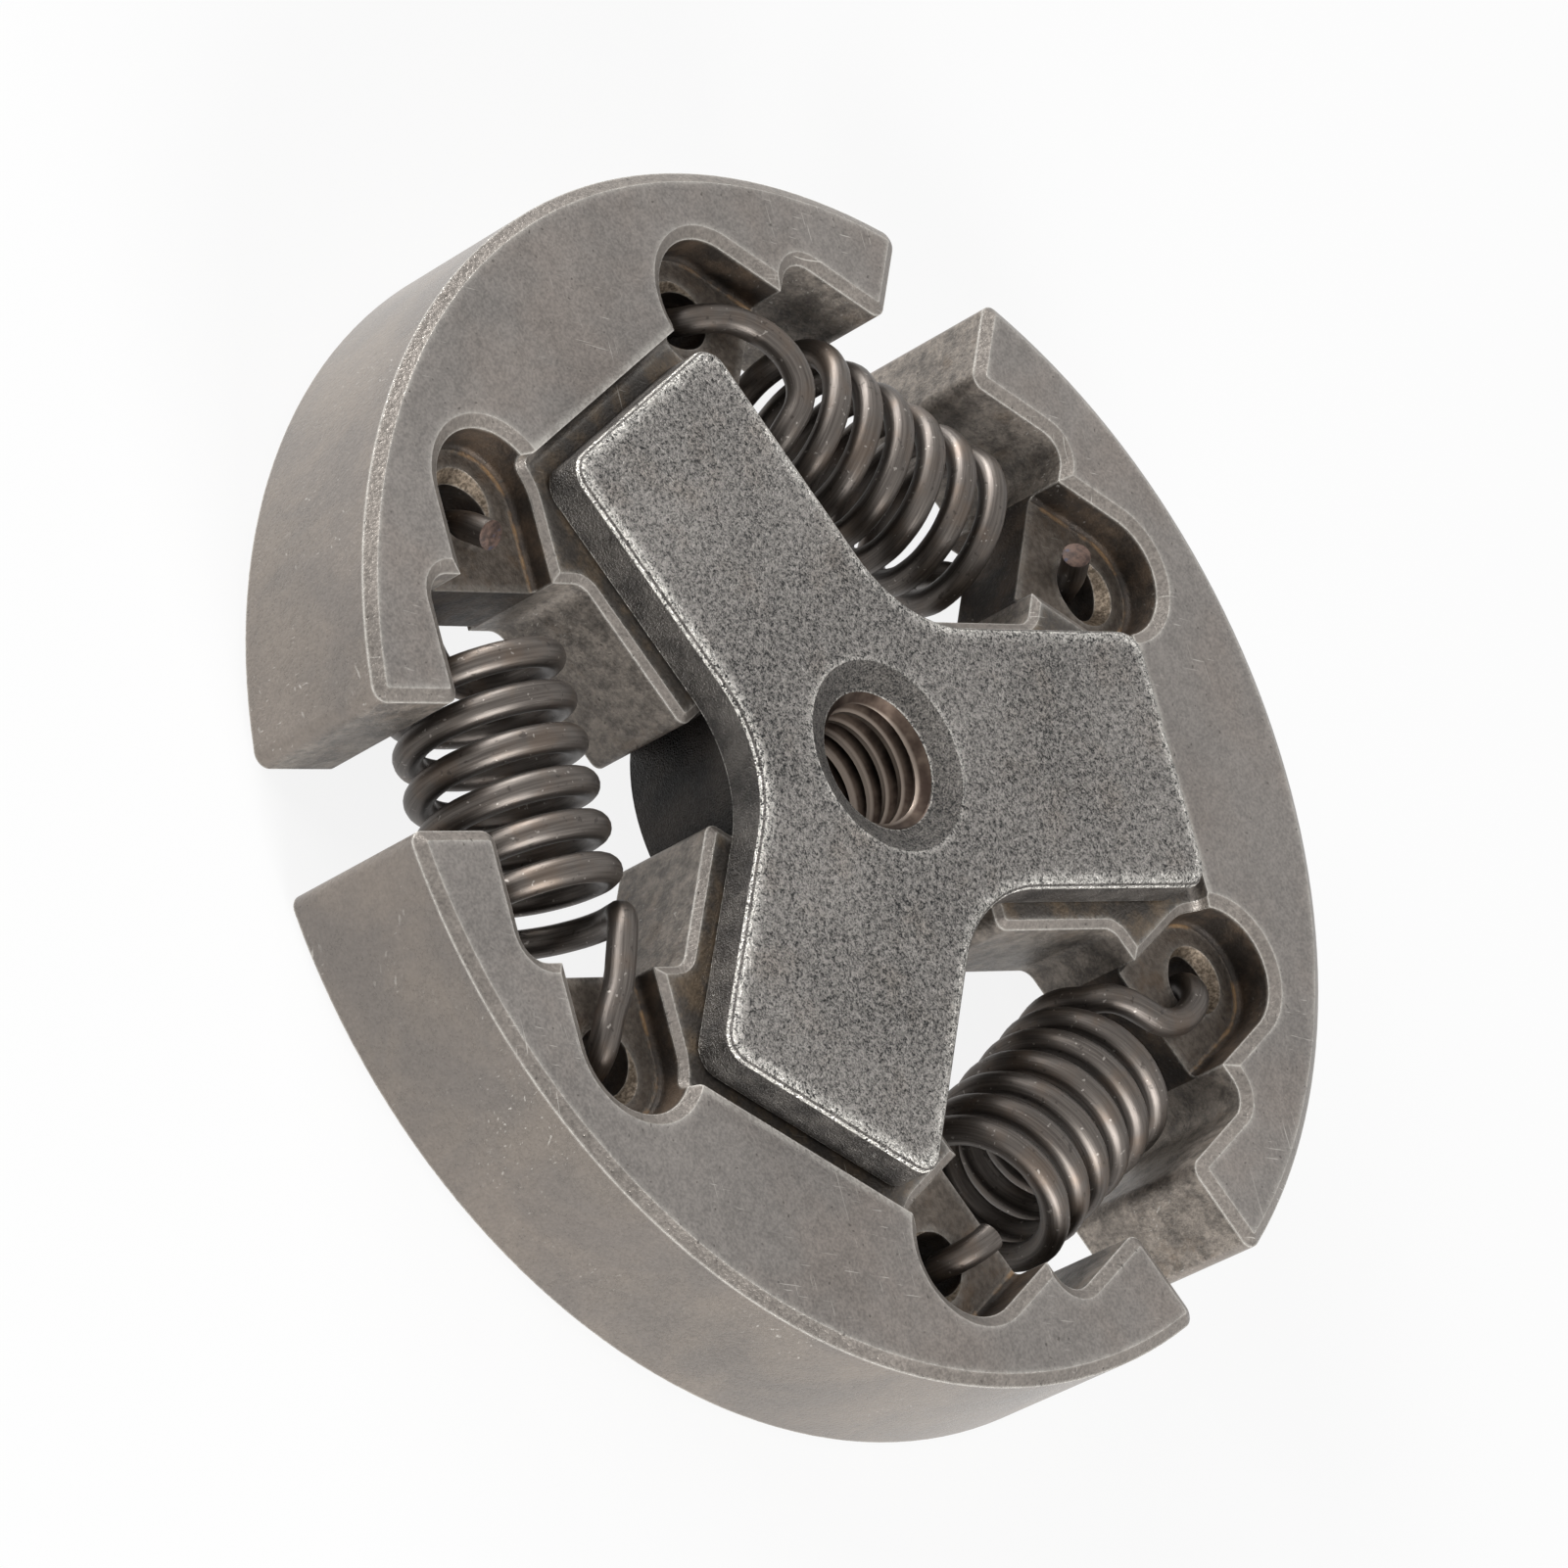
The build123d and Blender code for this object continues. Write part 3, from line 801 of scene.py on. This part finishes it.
wide_hook = millimetres(
    (-0.1, -4.3, 8.6), (0.8, -4.15, 10.0), (1.2, -3.75, 11.4), (1.0, -3.42, 13.0),
    (0.35, -3.05, 14.4), (-0.1, -2.3, 15.3), (0.0, -1.3, 15.6), (0.1, 0, 15.4), (0.2, 1.2, 15.0),
    (0.25, 2.6, 14.4), (0.2, 4.3, 13.2))
crossing_hook = millimetres(
    (-3.3, -3.05, 7.8), (-2.5, -3.5, 8.4), (-1.45, -3.62, 9.05), (-0.3, -3.52, 9.9),
    (0.5, -3.42, 11.1), (0.75, -3.36, 12.6), (0.52, -3.2, 13.85), (0.15, -2.4, 15.0),
    (0.0, -1.5, 15.6), (0.1, -0.2, 15.5), (0.3, 1.2, 15.0), (0.45, 2.4, 14.52),
    (0.6, 3.25, 13.8), (0.7, 3.75, 12.9), (0.7, 3.95, 12.3))
straight_hook = millimetres(
    (-2.9, -3.35, 7.75), (-2.1, -3.95, 8.7), (-1.4, -3.97, 10.3), (-0.78, -3.8, 11.9),
    (-0.05, -3.52, 13.2), (0.4, -3.15, 14.35), (0.55, -2.4, 15.25), (0.45, -1.4, 15.65),
    (0.35, -0.1, 15.4), (0.3, 1.2, 15.0), (0.25, 2.6, 14.4), (0.2, 4.2, 13.25))
print("hooks:", len(wide_hook), len(crossing_hook), len(straight_hook), "points")

# %% [markdown]
# A curve's bevel gives it thickness, and converting it keeps a UV map that runs along the wire. Its
# caps come out as triangles while its side has four-cornered faces, which is how the cut end is
# found. It is inset a little, because shears leave a rounded lip.

# %% Thickness of the wire
cut_ends_above = 8 * mm          # in a half's own frame, where its coil's middle is at 0


def thicken(line):
    """Turns the middle line into round wire, as a mesh with its UV map, and eases its cut end."""
    line.data.dimensions = "3D"
    line.data.resolution_u = line.data.render_resolution_u = 4
    line.data.bevel_depth = wire / 2
    line.data.bevel_resolution = 7
    line.data.use_fill_caps = True
    select_only(line)
    bpy.ops.object.convert(target="MESH")
    solid = bpy.context.object
    bpy.ops.object.mode_set(mode="EDIT")
    bpy.ops.mesh.select_all(action="SELECT")
    bpy.ops.mesh.remove_doubles(threshold=1e-6)
    bpy.ops.mesh.normals_make_consistent(inside=False)
    bpy.ops.mesh.select_all(action="DESELECT")
    bpy.ops.object.mode_set(mode="OBJECT")
    solid.data.materials.clear()
    solid.data.materials.append(wire_look)
    solid.data.materials.append(cut_look)
    bpy.context.tool_settings.mesh_select_mode = (False, False, True)
    for face in solid.data.polygons:
        face.select = len(face.vertices) == 3 and face.center.z > cut_ends_above
        face.material_index = 1 if face.select else 0
    bpy.ops.object.mode_set(mode="EDIT")
    bpy.ops.mesh.inset(thickness=0.10 * mm, depth=0.07 * mm)
    bpy.ops.object.mode_set(mode="OBJECT")
    bpy.context.tool_settings.mesh_select_mode = (True, False, False)
    bpy.ops.object.shade_smooth_by_angle(angle=radians(50))
    return solid


halves = {}
for form, leave_angle, points in (("wide", 110, wide_hook), ("crossing", 150, crossing_hook),
                                  ("straight", 150, straight_hook)):
    middle_line = half_coil(form + "_half", leave_angle)
    lead_hook(middle_line, points)
    halves[form] = thicken(middle_line)
    print(form, "half:", len(halves[form].data.polygons), "faces,",
          [round(d / mm, 1) for d in halves[form].dimensions], "mm")

# %% [markdown]
# Each half is copied with a mesh of its own, turned to its gap and laid in place in its mesh, so
# that the object itself stays at the origin.

# %% Lay the halves in place
shoe_bodies = ["first_shoe", "second_shoe", "third_shoe"]
for number in range(3):
    node = "spring_" + str(number + 1)
    for side, flip, body in (("front", 0, shoe_bodies[number]),
                             ("back", 180, shoe_bodies[(number + 1) % 3])):
        select_only(halves[("wide", "crossing", "straight")[number]])
        bpy.ops.object.duplicate()
        half = bpy.context.object
        half.name = half.data.name = node + "_" + side
        gap = radians(30 - 120 * number)
        rimward = Vector((cos(gap), sin(gap), 0))
        along = Vector((-sin(gap), cos(gap), 0))
        lay = Matrix((rimward, (0, 0, -1), along)).transposed().to_4x4()
        middle = rimward * spring_radius + Vector((0, 0, mid_height))
        turn_over = Matrix.Rotation(radians(flip), 4, "X")
        half.matrix_world = Matrix.Translation(middle) @ lay @ turn_over
        bpy.ops.object.transform_apply(location=True, rotation=True, scale=True)
        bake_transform(half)
        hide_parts(node)
    print(node, "laid at", [round(c / mm, 1) for c in middle])
for source in halves.values():
    bpy.data.objects.remove(source)

# %% [markdown]
# ## Thread
# An internal thread is a ridge that winds up the wall of the bore. Its section is a small
# trapezium with its foot in the wall, and a Screw modifier winds it. It is wound past both ends of
# the bore, and then only what lies within a cylinder between the two ends is kept. A cone opens the
# front end, as the countersink does that is cut before a thread, so its first turn thins out.

# %% Wind the ridge
deselect()
bpy.ops.mesh.primitive_plane_add(size=1, location=(0, 0, 0))
thread = bpy.context.object
thread.name = "bore_thread"
bpy.ops.object.mode_set(mode="EDIT")
bpy.ops.mesh.select_all(action="SELECT")
bpy.ops.transform.rotate(value=pi / 2, orient_axis="X", center_override=(0, 0, 0))
bpy.ops.object.mode_set(mode="OBJECT")
foot_half, crest_half, crest_radius = 0.49 * thread_pitch, 0.11 * thread_pitch, 3.36 * mm
sunk, steps_per_turn = 0.04 * mm, 48     # the ridge's foot is sunk a little into the wall
for corner in thread.data.vertices:
    at_crest = corner.co.x < 0
    height = crest_half if at_crest else foot_half
    corner.co = (crest_radius if at_crest else bore_radius + sunk, 0,
                 (1 if corner.co.z > 0 else -1) * height + thread_from - 0.5 * thread_pitch)
winds = (thread_to - thread_from) / thread_pitch + 1
screw = thread.modifiers.new("winds", "SCREW")
screw.angle = winds * 2 * pi
screw.screw_offset = winds * thread_pitch
screw.steps = screw.render_steps = round(winds * steps_per_turn)
bpy.ops.object.modifier_apply(modifier="winds")
print("ridge:", len(thread.data.polygons), "faces after", round(winds, 2), "turns")

# %% [markdown]
# A boolean only works on a closed mesh whose faces point outwards, so the doubles that the Screw
# modifier leaves are merged first, the open ends are filled and the normals are worked out again.
# The cylinder and the cone are tools, and each is removed once it has cut.


# %% Close the ridge and cut both ends
def cut_with(piece, tool, operation):
    """Applies a boolean between a piece and a tool, then removes the tool."""
    select_only(piece)
    change = piece.modifiers.new("cut", "BOOLEAN")
    change.operation, change.object, change.solver = operation, tool, "EXACT"
    bpy.ops.object.modifier_apply(modifier="cut")
    bpy.data.objects.remove(tool)


bpy.ops.object.mode_set(mode="EDIT")
bpy.ops.mesh.select_all(action="SELECT")
bpy.ops.mesh.remove_doubles(threshold=1e-7)
bpy.ops.mesh.fill_holes(sides=4)
bpy.ops.mesh.select_all(action="SELECT")
bpy.ops.mesh.normals_make_consistent(inside=False)
bpy.ops.object.mode_set(mode="OBJECT")
deselect()
bpy.ops.mesh.primitive_cylinder_add(radius=4.5 * mm, depth=thread_to - thread_from, vertices=64,
                                    location=(0, 0, (thread_from + thread_to) / 2))
cut_with(thread, bpy.context.object, "INTERSECT")
deselect()
bpy.ops.mesh.primitive_cone_add(radius1=3.2 * mm, radius2=4.2 * mm, depth=1.0 * mm, vertices=64,
                                location=(0, 0, thread_to - 0.35 * mm))
cut_with(thread, bpy.context.object, "DIFFERENCE")
bpy.ops.object.shade_smooth_by_angle(angle=radians(30))
thread.data.materials.append(thread_look)
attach(thread, "hub")
print("thread:", len(thread.data.polygons), "faces,",
      [round(d / mm, 2) for d in thread.dimensions], "mm")

# %% [markdown]
# ## Dress the solids
# The shoes and the spider keep the meshes that the frame loaded. A material is all that they need.

# %% Give the solids their finish
for name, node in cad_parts.items():
    look = spider_look if name == "spider" else wire_look if "spring" in name else shoe_look
    node.data.materials.clear()
    node.data.materials.append(look)
    print(name, "wears", look.name)
